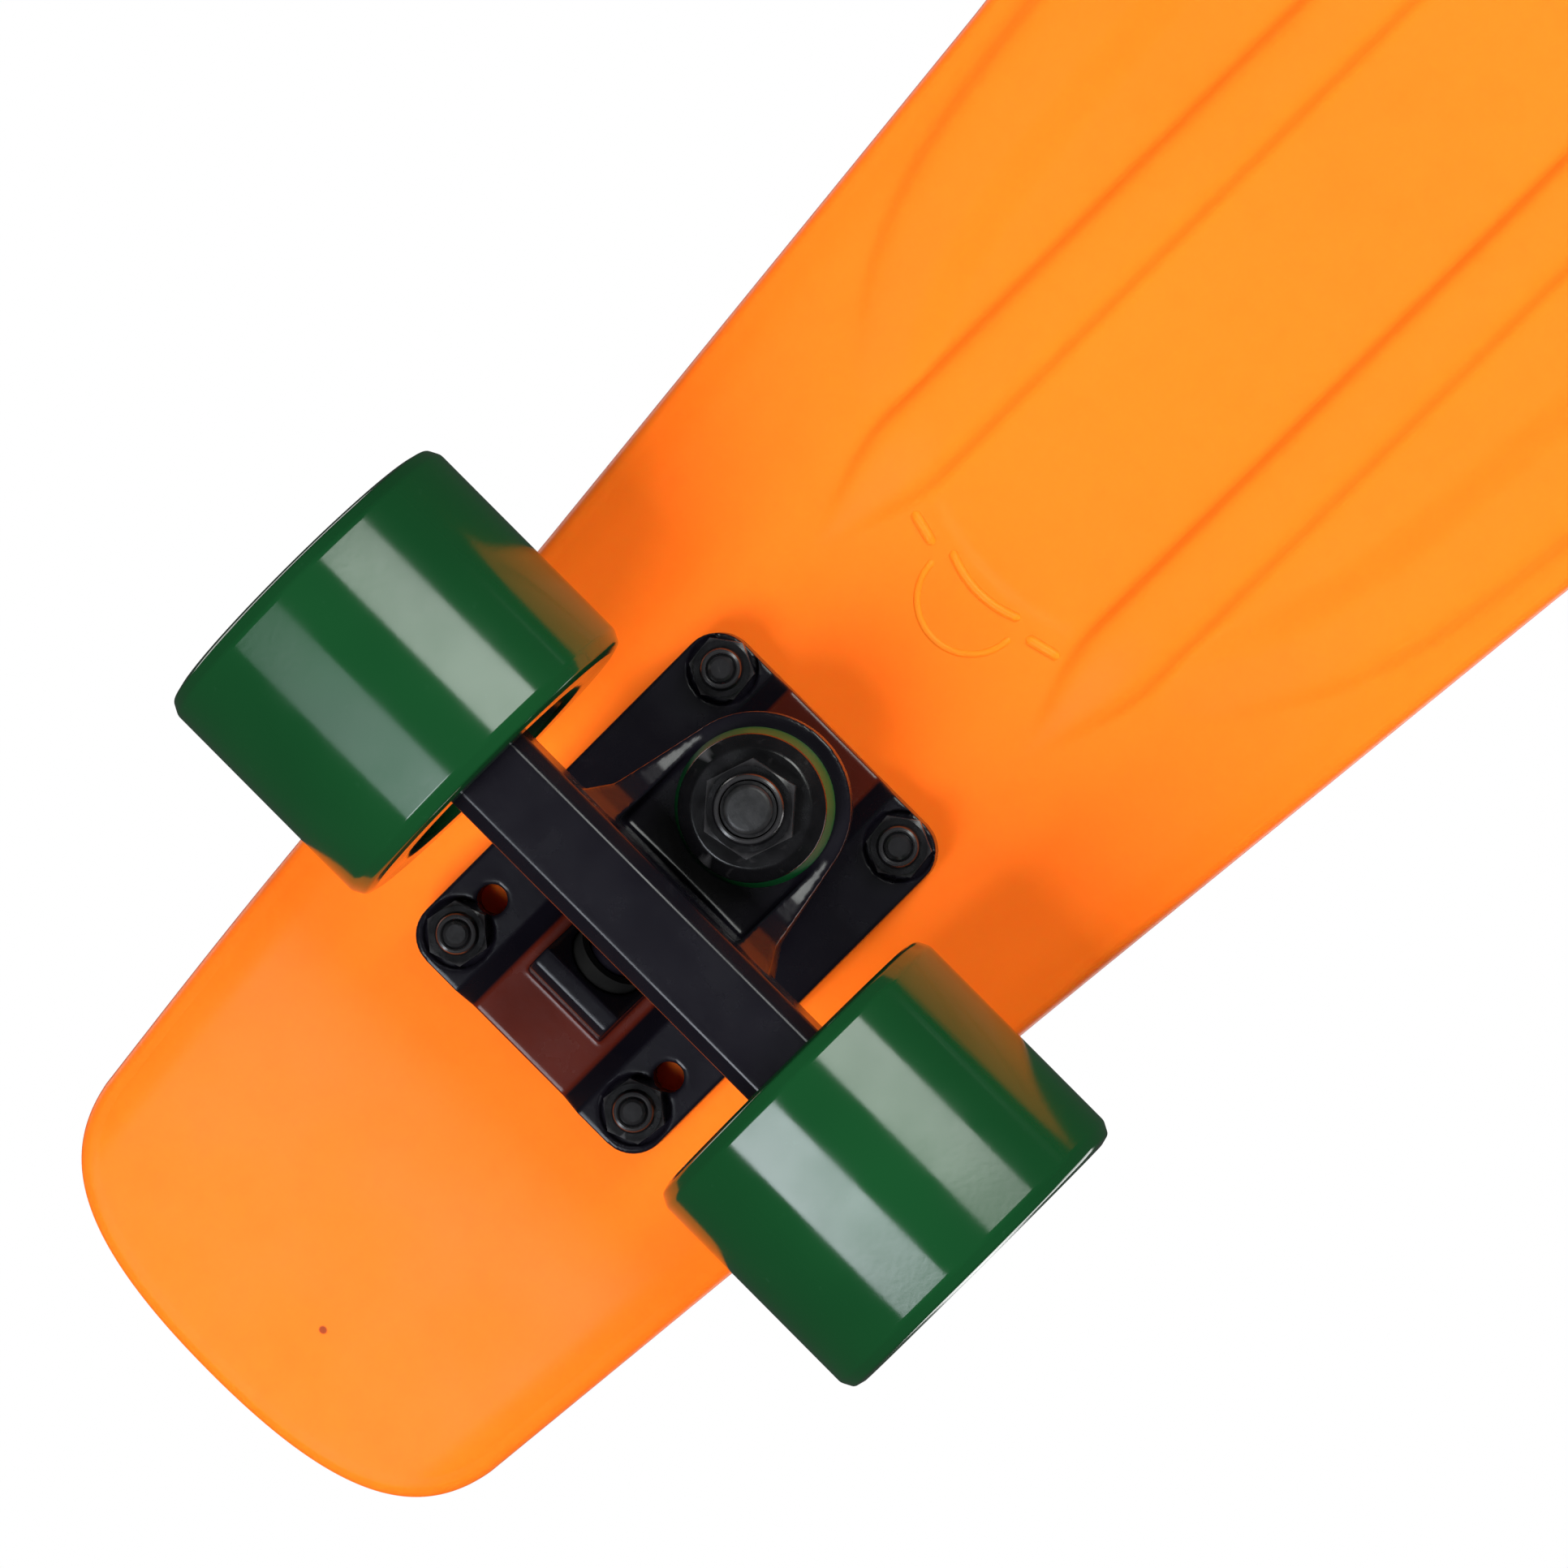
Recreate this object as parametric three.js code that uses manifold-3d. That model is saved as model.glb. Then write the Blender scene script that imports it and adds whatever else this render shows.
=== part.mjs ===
// Plastic mini cruiser skateboard standing on its wheels.
// Units are millimetres. +X points to the nose, +Y to the rider's left, +Z up.
// The origin is on the floor, under the middle of the board.
import * as THREE from 'three';
import { mergeVertices } from 'three/addons/utils/BufferGeometryUtils.js';
import Module from 'manifold-3d';

const wasm = await Module();
wasm.setup();

// ---- driving dimensions ----
const GAP = 0.3;                  // between pieces that touch
const DECK_LENGTH = 570;
const DECK_HALF_WIDTH = 76;
const TAIL_HALF_WIDTH = 45.8;     // at the tail's corners
const TRUCK_HALF_WIDTH = 57.1;    // just ahead of the rear axle
const WAIST_HALF_WIDTH = 68.1;    // where the sides begin to curve
const TAIL_OVERHANG = 111;        // tail tip to rear axle
const WHEELBASE = 384;
const DECK_THICK = 7;
const RIB_DEPTH = 3.5;
const RIB_INSET = 68;             // ribs start this far from each axle
const STRAIGHT_RIB_Y = 25;
const STRAIGHT_RIB_HALF_WIDTH = 6.5;
const TAIL_RISE = 20;
const NOSE_RISE = 8;
const WHEEL_RADIUS = 30;
const WHEEL_WIDTH = 45;
const WHEEL_CENTRE_Y = 56.1;       // from the middle of the board
const AXLE_DROP = 42;             // deck underside to axle centre
const AXLE_RADIUS = 4;
const AXLE_HALF_LENGTH = 73.5;
const HANGER_HALF_LENGTH = 39.7;
const BOLT_RADIUS = 2.4;
const BOLT_HOLE_RADIUS = 2.7;
const BOLT_X = [-25.9, 35.9];     // from the axle, towards the middle of the board
const BOLT_Y = 20.65;
const NUT_SEAT_RADIUS = 5.9;
const PLATE_X = [-33, 41.2];       // ends of the baseplate, from the axle
const PLATE_HALF_WIDTH = 27.25;
const PLATE_CORNER = 6;
const HOUSING_HALF_WIDTH = 8.3;    // hump that holds the pivot cup
const SPARE_HOLE_X = -18.1;
const KINGPIN_X = 25;
const KINGPIN_RADIUS = 4.6;
const PIVOT_X = -12;
const PIVOT_Z = -10;
const PIVOT_TILT = 35 * Math.PI / 180;
const RING_RADIUS = 15.6;         // outside of the hanger's ring
const POCKET_RADIUS = 13.9;       // inside of the ring, around the bushing
const YOKE_HALF_WIDTH = 22;       // where the ring's arms meet the bar
const POCKET_START_X = 8.2;       // the pocket stops just short of the bar
const CHANNEL_HALF_WIDTH = 10.4;  // floor of the baseplate's channel
const CHANNEL_DRAFT = 4.7;        // how much wider it is at the rails

const TAIL_X = -DECK_LENGTH / 2;
const NOSE_X = DECK_LENGTH / 2;
const REAR_AXLE_X = TAIL_X + TAIL_OVERHANG;
const FRONT_AXLE_X = REAR_AXLE_X + WHEELBASE;
const DECK_Z = WHEEL_RADIUS + AXLE_DROP;   // underside of the deck

// ---- levels of one truck, measured from the deck underside (negative is towards the road) ----
const PLATE_FLOOR = -5.3;
const PLATE_RAIL = -8.8;
const NUT_SEAT = -8;
const BOSS_END = -9;
const BUSHING_TOP = -10.8;
const RING_TOP = -23;
const RING_END = -28.5;
const ROAD_BUSHING_END = -36.9;
const WASHER_THICK = 1.2;
const KINGPIN_NUT_END = -45;
const KINGPIN_END = -46;
const BAR_TOP = -AXLE_DROP + 8.5;
const BAR_END = -AXLE_DROP - 8;

// ---- places along the axle, measured from the middle of the board ----
const INNER_BEARING_Y = 41;
const OUTER_BEARING_Y = 58;
const BEARING_WIDTH = 7;
const BEARING_RADIUS = 11;
const AXLE_NUT_Y = 66.3;
const AXLE_NUT_THICK = 6;

// ---- materials ----
const FINISHES = {
  deck: { color: 0xff8420, roughness: 0.38, metalness: 0 },
  wheel: { color: 0x175c2a, roughness: 0.18, metalness: 0 },
  bushing: { color: 0x1c5f33, roughness: 0.45, metalness: 0 },
  truck: { color: 0x1b1a1f, roughness: 0.42, metalness: 0.3 },
  hardware: { color: 0x141416, roughness: 0.3, metalness: 0.7 },
  steel: { color: 0x9c9ea2, roughness: 0.28, metalness: 1 },
  cup: { color: 0x202022, roughness: 0.6, metalness: 0 },
};

// ---- solids ----
function solidOf(geometry) {
  const plain = geometry.index ? geometry.toNonIndexed() : geometry.clone();
  plain.deleteAttribute('normal');
  plain.deleteAttribute('uv');
  const merged = mergeVertices(plain, 1e-4);
  return new wasm.Manifold(new wasm.Mesh({
    numProp: 3,
    vertProperties: new Float32Array(merged.attributes.position.array),
    triVerts: new Uint32Array(merged.index.array),
  }));
}

function geometryOf(solid) {
  const mesh = solid.getMesh();
  const geometry = new THREE.BufferGeometry();
  geometry.setAttribute('position', new THREE.BufferAttribute(mesh.vertProperties, 3));
  geometry.setIndex(new THREE.BufferAttribute(mesh.triVerts, 1));
  geometry.computeVertexNormals();
  return geometry;
}

function join(first, ...others) {
  return others.reduce((sum, other) => sum.add(other), first);
}

function cut(first, ...others) {
  return others.reduce((rest, other) => rest.subtract(other), first);
}

// A round bar or cone along Z; radiusLow is at z0.
function roundZ(radiusLow, z0, z1, x = 0, y = 0, radiusHigh = radiusLow, sides = 28) {
  const bar = new THREE.CylinderGeometry(radiusHigh, radiusLow, z1 - z0, sides);
  return bar.rotateX(Math.PI / 2).translate(x, y, (z0 + z1) / 2);
}

function prismZ(shape, z0, z1, segments = 8) {
  const options = { depth: z1 - z0, bevelEnabled: false, curveSegments: segments };
  return new THREE.ExtrudeGeometry(shape, options).translate(0, 0, z0);
}

// A prism along Y, from an outline drawn in X and Z.
function prismY(shape, y0, y1, segments = 8) {
  const options = { depth: y1 - y0, bevelEnabled: false, curveSegments: segments };
  return new THREE.ExtrudeGeometry(shape, options).rotateX(Math.PI / 2).translate(0, y1, 0);
}

// Spreads the low end of a prism sideways, so its walls lean.
function drafted(prism, spread) {
  prism.computeBoundingBox();
  const low = prism.boundingBox.min.z;
  const position = prism.attributes.position;
  for (let n = 0; n < position.count; n += 1) {
    if (position.getZ(n) < low + 0.01) {
      position.setY(n, position.getY(n) + spread * Math.sign(position.getY(n)));
    }
  }
  return prism;
}

function polygon(points) {
  return new THREE.Shape(points.map(([a, b]) => new THREE.Vector2(a, b)));
}

function roundedRectangle(x0, x1, halfWidth, radius) {
  const shape = new THREE.Shape();
  shape.absarc(x1 - radius, halfWidth - radius, radius, 0, Math.PI / 2);
  shape.absarc(x0 + radius, halfWidth - radius, radius, Math.PI / 2, Math.PI);
  shape.absarc(x0 + radius, radius - halfWidth, radius, Math.PI, 1.5 * Math.PI);
  shape.absarc(x1 - radius, radius - halfWidth, radius, 1.5 * Math.PI, 2 * Math.PI);
  return shape;
}

function hexagon(acrossFlats) {
  const radius = acrossFlats / Math.sqrt(3);
  const corners = [0, 1, 2, 3, 4, 5].map((n) => n * Math.PI / 3);
  return polygon(corners.map((turn) => [radius * Math.cos(turn), radius * Math.sin(turn)]));
}

// A closed ring turned about Y from [radius, y] corners, listed with the outside first.
function turned(corners, sides) {
  const profile = [...corners, corners[0]].map(([radius, y]) => new THREE.Vector2(radius, y));
  return new THREE.LatheGeometry(profile, sides);
}

function tube(innerRadius, outerRadius, y0, y1, sides) {
  return turned([[outerRadius, y0], [outerRadius, y1], [innerRadius, y1], [innerRadius, y0]], sides);
}

// A ring around the kingpin, from [radius, z] corners.
function ringZ(corners, sides) {
  return turned(corners, sides).rotateX(Math.PI / 2).translate(KINGPIN_X, 0, 0);
}

// ---- deck ----
// Half outline, then its mirror image: squared tail, widest ahead of the middle, rounded nose.
function deckOutline() {
  const half = new THREE.Path();
  half.moveTo(TAIL_X, 0);
  half.bezierCurveTo(TAIL_X, 28, TAIL_X + 6, 43.2, TAIL_X + 23, TAIL_HALF_WIDTH);
  half.lineTo(REAR_AXLE_X + 31, TRUCK_HALF_WIDTH);
  half.lineTo(REAR_AXLE_X + 141, WAIST_HALF_WIDTH);
  half.bezierCurveTo(3, 72.4, 36, DECK_HALF_WIDTH, 71, DECK_HALF_WIDTH);
  half.bezierCurveTo(140, DECK_HALF_WIDTH, 205, 68, 240, 52);
  half.bezierCurveTo(268, 39, NOSE_X, 22, NOSE_X, 0);
  const left = half.getPoints(12).reverse();
  const right = left.slice(1, -1).reverse().map((p) => new THREE.Vector2(p.x, -p.y));
  return new THREE.Shape([...left, ...right]);
}

// Side view: flat between the trucks, kicked tail, slightly raised nose.
function deckProfile() {
  const kickX = REAR_AXLE_X - 42;
  const noseKickX = FRONT_AXLE_X + 36;
  const top = DECK_Z + DECK_THICK;
  const shape = new THREE.Shape();
  shape.moveTo(TAIL_X - 1, DECK_Z + TAIL_RISE);
  shape.bezierCurveTo(TAIL_X + 25, DECK_Z + 11, kickX - 20, DECK_Z, kickX, DECK_Z);
  shape.lineTo(noseKickX, DECK_Z);
  shape.bezierCurveTo(noseKickX + 14, DECK_Z, NOSE_X - 12, DECK_Z + 5, NOSE_X + 1, DECK_Z + NOSE_RISE);
  shape.lineTo(NOSE_X + 1, top + NOSE_RISE);
  shape.bezierCurveTo(NOSE_X - 12, top + 5, noseKickX + 14, top, noseKickX, top);
  shape.lineTo(kickX, top);
  shape.bezierCurveTo(kickX - 20, top, TAIL_X + 25, top + 11, TAIL_X - 1, top + TAIL_RISE);
  return shape;
}

// Two straight ribs beside the centre line and two that follow the edges, under the deck.
function deckRibs() {
  const start = REAR_AXLE_X + RIB_INSET;
  const end = FRONT_AXLE_X - RIB_INSET;
  const ribs = [];
  for (const side of [1, -1]) {
    const inner = roundedRectangle(start, end, STRAIGHT_RIB_HALF_WIDTH, STRAIGHT_RIB_HALF_WIDTH - 0.5);
    ribs.push(prismZ(inner, DECK_Z - RIB_DEPTH, DECK_Z + 1, 3).translate(0, STRAIGHT_RIB_Y * side, 0));
    // the swept rib starts beside the straight one and runs out towards the edge
    const outer = new THREE.Shape();
    outer.moveTo(start + 18, 34.5 * side);
    outer.quadraticCurveTo(start + 40, 59 * side, start + 90, 63 * side);
    outer.lineTo(end - 60, 66 * side);
    outer.quadraticCurveTo(end - 30, 62 * side, end - 18, 34.5 * side);
    outer.quadraticCurveTo(end - 45, 48 * side, end - 90, 50 * side);
    outer.lineTo(start + 90, 48 * side);
    outer.quadraticCurveTo(start + 45, 44 * side, start + 18, 34.5 * side);
    ribs.push(prismZ(outer, DECK_Z - RIB_DEPTH, DECK_Z + 1, 6));
  }
  return ribs;
}

function boltPlaces() {
  const places = [];
  for (const [end, axleX, turn] of [['rear', REAR_AXLE_X, 1], ['front', FRONT_AXLE_X, -1]]) {
    for (const boltX of BOLT_X) {
      for (const side of [1, -1]) {
        const where = (boltX < 0) ? 'outer' : 'inner';
        const hand = (side > 0) ? 'left' : 'right';
        places.push({ name: `${end}_${where}_${hand}`, x: axleX + turn * boltX, y: side * BOLT_Y });
      }
    }
  }
  return places;
}

function deckSolid() {
  const outline = solidOf(prismZ(deckOutline(), 0, 150));
  const profile = solidOf(prismY(deckProfile(), -100, 100, 6));
  const board = join(outline.intersect(profile), ...deckRibs().map(solidOf));
  const holes = boltPlaces().flatMap(({ x, y }) => [
    roundZ(BOLT_HOLE_RADIUS, DECK_Z - 5, DECK_Z + 20, x, y, BOLT_HOLE_RADIUS, 16),
    roundZ(2.2, DECK_Z + DECK_THICK - 3.2, DECK_Z + DECK_THICK + 0.2, x, y, 5.3, 16),
  ]);
  return cut(board, ...holes.map(solidOf));
}

// ---- one truck, in its own frame: X from the axle towards the middle of the board, Z from the deck ----
function alongPivot(geometry) {
  return geometry.rotateY(Math.PI / 2 + PIVOT_TILT).translate(PIVOT_X, 0, PIVOT_Z);
}

// A plate with two raised rails: the channel between them has drafted walls.
function baseplateSolid() {
  const blockOutline = roundedRectangle(PLATE_X[0], PLATE_X[1], PLATE_HALF_WIDTH, PLATE_CORNER);
  const block = solidOf(prismZ(blockOutline, PLATE_RAIL, -GAP, 4));
  const channelOutline = roundedRectangle(-60, 60, CHANNEL_HALF_WIDTH, 1);
  const channel = solidOf(drafted(prismZ(channelOutline, PLATE_RAIL - 1, PLATE_FLOOR, 1), CHANNEL_DRAFT));
  // side view of the hump that holds the pivot cup
  const housing = polygon([[-22.5, -5], [-21, -15.5], [-19.5, -17], [-16.5, -17], [-5, -5]]);
  const pivotHousing = solidOf(prismY(housing, -HOUSING_HALF_WIDTH, HOUSING_HALF_WIDTH));
  const boss = solidOf(roundZ(12, BOSS_END, PLATE_FLOOR + 1, KINGPIN_X));
  const holes = [];
  for (const y of [BOLT_Y, -BOLT_Y]) {
    for (const x of BOLT_X) {
      holes.push(roundZ(NUT_SEAT_RADIUS, PLATE_RAIL - 1, NUT_SEAT, x, y, NUT_SEAT_RADIUS, 20));
      holes.push(roundZ(BOLT_HOLE_RADIUS, -20, 1, x, y, BOLT_HOLE_RADIUS, 16));
    }
    holes.push(roundZ(2.6, -20, 1, SPARE_HOLE_X, y, 2.6, 16));
  }
  holes.push(roundZ(KINGPIN_RADIUS + GAP, -20, 1, KINGPIN_X, 0, KINGPIN_RADIUS + GAP, 20));
  holes.push(roundZ(8.6, -5.6, 1, KINGPIN_X, 0, 8.6, 20));
  holes.push(alongPivot(roundZ(6.9, -7.1, 30, 0, 0, 6.9, 20)));
  return cut(join(cut(block, channel), pivotHousing, boss), ...holes.map(solidOf));
}

// A cup that holds the pivot nose: closed at the deep end.
function pivotCup() {
  const corners = [[0, -6.8], [6.6, -6.8], [6.6, 3.4], [5.3, 3.4], [5.3, -5.2], [0, -5.2]];
  const profile = corners.map(([radius, y]) => new THREE.Vector2(radius, y));
  const cup = new THREE.LatheGeometry(profile, 20);
  return alongPivot(cup.rotateX(Math.PI / 2));
}

function hangerSolid() {
  // the bar's section, with bevelled edges
  const barOutline = polygon([[-8, BAR_TOP - 2.5], [-5.5, BAR_TOP], [5.5, BAR_TOP], [8, BAR_TOP - 2.5],
    [8, BAR_END + 2.3], [5.7, BAR_END], [-5.7, BAR_END], [-8, BAR_END + 2.3]].reverse());
  const bar = solidOf(prismY(barOutline, -HANGER_HALF_LENGTH, HANGER_HALF_LENGTH));
  // the yoke is where its side view and its plan meet, less a pocket that leaves two side arms
  const side = new THREE.Shape();
  side.moveTo(KINGPIN_X + 20, RING_TOP);
  side.lineTo(3, RING_TOP);
  side.lineTo(-6, BAR_TOP - 2);
  side.lineTo(-6, -AXLE_DROP);
  side.lineTo(7, -AXLE_DROP - 3);
  side.quadraticCurveTo(14, -31, KINGPIN_X + 2, RING_END);
  side.lineTo(KINGPIN_X + 20, RING_END);
  const plan = new THREE.Shape();
  plan.absarc(KINGPIN_X, 0, RING_RADIUS, -1.35, 1.35);
  plan.lineTo(12, RING_RADIUS + 3);
  plan.lineTo(7, YOKE_HALF_WIDTH);
  plan.lineTo(-6, YOKE_HALF_WIDTH);
  plan.lineTo(-6, -YOKE_HALF_WIDTH);
  plan.lineTo(7, -YOKE_HALF_WIDTH);
  plan.lineTo(12, -RING_RADIUS - 3);
  const yoke = solidOf(prismY(side, -25, 25, 6)).intersect(solidOf(prismZ(plan, -60, 0, 20)));
  const pocket = new THREE.Shape();
  pocket.absarc(KINGPIN_X, 0, POCKET_RADIUS, -Math.PI / 2, Math.PI / 2);
  pocket.lineTo(POCKET_START_X, POCKET_RADIUS);
  pocket.lineTo(POCKET_START_X, -POCKET_RADIUS);
  const pocketSolid = solidOf(prismZ(pocket, -60, RING_END, 10));
  const pinHole = solidOf(roundZ(8, -60, 0, KINGPIN_X));
  const neck = solidOf(alongPivot(roundZ(4.9, 0, 6)));
  const stem = solidOf(alongPivot(roundZ(4.9, 5, 20, 0, 0, 7.6)));
  const tip = solidOf(new THREE.SphereGeometry(4.9, 20, 12).translate(PIVOT_X, 0, PIVOT_Z));
  const bore = solidOf(new THREE.CylinderGeometry(4.3, 4.3, 100, 24).translate(0, 0, -AXLE_DROP));
  return cut(join(bar, cut(yoke, pocketSolid), stem, neck, tip), pinHole, bore);
}

function kingpinSolid() {
  const head = solidOf(prismZ(hexagon(14), -5.3, -0.6).translate(KINGPIN_X, 0, 0));
  const shank = solidOf(roundZ(KINGPIN_RADIUS, KINGPIN_END, -5, KINGPIN_X, 0, KINGPIN_RADIUS, 24));
  return join(head, shank);
}

function boardsideBushing() {
  const hole = KINGPIN_RADIUS + GAP;
  return ringZ([[13.2, RING_TOP + GAP], [13.2, RING_TOP + 3], [12, BUSHING_TOP], [hole, BUSHING_TOP],
    [hole, RING_TOP + GAP]], 20);
}

function roadsideBushing() {
  const hole = KINGPIN_RADIUS + GAP;
  return ringZ([[11.6, ROAD_BUSHING_END], [13.1, RING_END - 2], [13.1, RING_END - GAP],
    [hole, RING_END - GAP], [hole, ROAD_BUSHING_END]], 20);
}

function washer(outerRadius, z) {
  const hole = KINGPIN_RADIUS + GAP;
  return ringZ([[outerRadius, z], [outerRadius, z + WASHER_THICK], [hole, z + WASHER_THICK], [hole, z]], 20);
}

function nutSolid(acrossFlats, holeRadius, collarRadius, z0, z1) {
  const body = solidOf(prismZ(hexagon(acrossFlats), z0 + 1.5, z1));
  const collar = solidOf(roundZ(collarRadius, z0, z0 + 2, 0, 0, collarRadius, 14));
  return cut(join(body, collar), solidOf(roundZ(holeRadius, z0 - 1, z1 + 1, 0, 0, holeRadius, 14)));
}

function kingpinNutSolid() {
  const nut = nutSolid(14.3, KINGPIN_RADIUS + GAP, 6.4, KINGPIN_NUT_END,
    ROAD_BUSHING_END - 2 * GAP - WASHER_THICK);
  return nut.translate([KINGPIN_X, 0, 0]);
}

// A countersunk bolt, its head just below the top of the deck.
function mountBolt() {
  const top = DECK_THICK - 0.3;
  const corners = [[0, -14], [BOLT_RADIUS, -14], [BOLT_RADIUS, top - 2.5], [4.7, top], [0, top]];
  const profile = corners.map(([radius, y]) => new THREE.Vector2(radius, y));
  return new THREE.LatheGeometry(profile, 12).rotateX(Math.PI / 2);
}

function mountNut() {
  return geometryOf(nutSolid(9.5, BOLT_HOLE_RADIUS, 3.5, NUT_SEAT - GAP - 5, NUT_SEAT - GAP));
}

function axle() {
  return new THREE.CylinderGeometry(AXLE_RADIUS, AXLE_RADIUS, 2 * AXLE_HALF_LENGTH, 24);
}

// ---- wheels and what runs on the axle, on the +Y side ----
// A wheel with a recess at each end, a bearing seat in each recess and a lip between them.
function wheel() {
  const low = WHEEL_CENTRE_Y - WHEEL_WIDTH / 2;
  const high = WHEEL_CENTRE_Y + WHEEL_WIDTH / 2;
  const seat = BEARING_RADIUS + GAP;
  const inner = INNER_BEARING_Y + BEARING_WIDTH + GAP;
  const outer = OUTER_BEARING_Y - GAP;
  return turned([
    [WHEEL_RADIUS - 2, low], [WHEEL_RADIUS, low + 2.2], [WHEEL_RADIUS, high - 2.2], [WHEEL_RADIUS - 2, high],
    [19.5, high], [15, OUTER_BEARING_Y + BEARING_WIDTH + 1], [seat, OUTER_BEARING_Y + BEARING_WIDTH + 1],
    [seat, outer], [9, outer], [9, inner], [seat, inner], [seat, INNER_BEARING_Y - 0.5],
    [15.5, INNER_BEARING_Y - 0.5], [19.5, low],
  ], 32);
}

function bearing(y) {
  const hole = AXLE_RADIUS + GAP;
  return turned([[BEARING_RADIUS, y], [BEARING_RADIUS, y + BEARING_WIDTH], [hole, y + BEARING_WIDTH],
    [hole, y]], 18);
}

function spacer() {
  const start = INNER_BEARING_Y + BEARING_WIDTH + GAP;
  return tube(AXLE_RADIUS + GAP, 5.6, start, OUTER_BEARING_Y - GAP, 12);
}

function axleNut() {
  const nut = nutSolid(12.7, AXLE_RADIUS + GAP, 5.6, -AXLE_NUT_Y - AXLE_NUT_THICK, -AXLE_NUT_Y);
  return geometryOf(nut).rotateX(Math.PI / 2);
}

// ---- assembly ----
function place(parent, name, finish, geometry, turn = 0) {
  const material = new THREE.MeshStandardMaterial(FINISHES[finish]);
  const mesh = new THREE.Mesh(geometry, material);
  mesh.name = name;
  mesh.rotation.z = turn;
  parent.add(mesh);
  return mesh;
}

function truck(end) {
  const group = new THREE.Group();
  place(group, `${end}_baseplate`, 'truck', geometryOf(baseplateSolid()));
  place(group, `${end}_pivot_cup`, 'cup', pivotCup());
  place(group, `${end}_hanger`, 'truck', geometryOf(hangerSolid()));
  place(group, `${end}_kingpin`, 'hardware', geometryOf(kingpinSolid()));
  place(group, `${end}_boardside_washer`, 'hardware', washer(12.4, BUSHING_TOP + GAP));
  place(group, `${end}_boardside_bushing`, 'bushing', boardsideBushing());
  place(group, `${end}_roadside_bushing`, 'bushing', roadsideBushing());
  place(group, `${end}_roadside_washer`, 'hardware', washer(12.2, ROAD_BUSHING_END - GAP - WASHER_THICK));
  place(group, `${end}_kingpin_nut`, 'hardware', geometryOf(kingpinNutSolid()));
  const running = new THREE.Group();
  running.position.z = -AXLE_DROP;
  group.add(running);
  place(running, `${end}_axle`, 'steel', axle());
  for (const turn of [0, Math.PI]) {
    const hand = ((turn === 0) === (end === 'rear')) ? 'left' : 'right';
    place(running, `${end}_${hand}_wheel`, 'wheel', wheel(), turn);
    place(running, `${end}_${hand}_inner_bearing`, 'steel', bearing(INNER_BEARING_Y), turn);
    place(running, `${end}_${hand}_outer_bearing`, 'steel', bearing(OUTER_BEARING_Y), turn);
    place(running, `${end}_${hand}_bearing_spacer`, 'steel', spacer(), turn);
    place(running, `${end}_${hand}_axle_nut`, 'hardware', axleNut(), turn);
  }
  return group;
}

const skateboard = new THREE.Group();
place(skateboard, 'deck', 'deck', geometryOf(deckSolid()));

const rearTruck = truck('rear');
rearTruck.position.set(REAR_AXLE_X, 0, DECK_Z);
skateboard.add(rearTruck);

const frontTruck = truck('front');
frontTruck.position.set(FRONT_AXLE_X, 0, DECK_Z);
frontTruck.rotation.z = Math.PI;
skateboard.add(frontTruck);

for (const { name, x, y } of boltPlaces()) {
  place(skateboard, `${name}_mount_bolt`, 'hardware', mountBolt()).position.set(x, y, DECK_Z);
  place(skateboard, `${name}_mount_nut`, 'hardware', mountNut()).position.set(x, y, DECK_Z);
}

export default skateboard;
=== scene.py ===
"""Looks of the plastic mini cruiser skateboard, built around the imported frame. Metres, +X nose, +Z up."""
import math
import random

import bmesh
import bpy
import numpy as np
from mathutils import Matrix, Vector


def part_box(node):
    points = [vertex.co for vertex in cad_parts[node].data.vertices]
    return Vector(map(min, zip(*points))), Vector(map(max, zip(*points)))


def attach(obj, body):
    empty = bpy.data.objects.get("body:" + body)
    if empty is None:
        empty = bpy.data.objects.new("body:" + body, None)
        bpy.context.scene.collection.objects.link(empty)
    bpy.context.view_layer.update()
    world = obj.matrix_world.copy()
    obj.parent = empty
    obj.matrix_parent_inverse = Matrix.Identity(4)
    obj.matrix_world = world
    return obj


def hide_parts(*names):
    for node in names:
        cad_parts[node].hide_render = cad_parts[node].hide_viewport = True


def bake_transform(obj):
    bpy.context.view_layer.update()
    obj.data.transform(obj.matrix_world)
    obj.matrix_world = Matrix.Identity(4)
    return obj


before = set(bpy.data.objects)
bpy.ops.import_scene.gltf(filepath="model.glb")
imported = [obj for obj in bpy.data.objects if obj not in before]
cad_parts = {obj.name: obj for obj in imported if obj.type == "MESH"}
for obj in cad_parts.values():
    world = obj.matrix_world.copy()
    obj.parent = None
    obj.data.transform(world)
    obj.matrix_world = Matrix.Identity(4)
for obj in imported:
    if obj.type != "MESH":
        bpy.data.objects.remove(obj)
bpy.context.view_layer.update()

MM = 0.001
GAP = 0.3 * MM                # what the frame keeps between touching pieces
ENDS = ("rear", "front")
HANDS = ("left", "right")


def middle(node):
    low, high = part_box(node)
    return (Vector(low) + Vector(high)) / 2


DECK_LOW, DECK_HIGH = (Vector(corner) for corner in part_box("deck"))
TAIL_X, NOSE_X = DECK_LOW.x, DECK_HIGH.x
HALF_WIDTH = DECK_HIGH.y
DECK_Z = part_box("rear_baseplate")[1][2] + GAP      # flat underside of the deck
DECK_THICK = 7 * MM
RIB_DEPTH = DECK_Z - DECK_LOW.z
REAR_AXLE = middle("rear_axle")
FRONT_AXLE = middle("front_axle")
WHEEL_RADIUS = REAR_AXLE.z
KINGPIN_X = 25 * MM                                 # from the axle, towards the middle
BOLT_X = (-25.9 * MM, 35.9 * MM)
BOLT_Y = 20.65 * MM


# ---------------------------------------------------------------- mesh helpers

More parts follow.
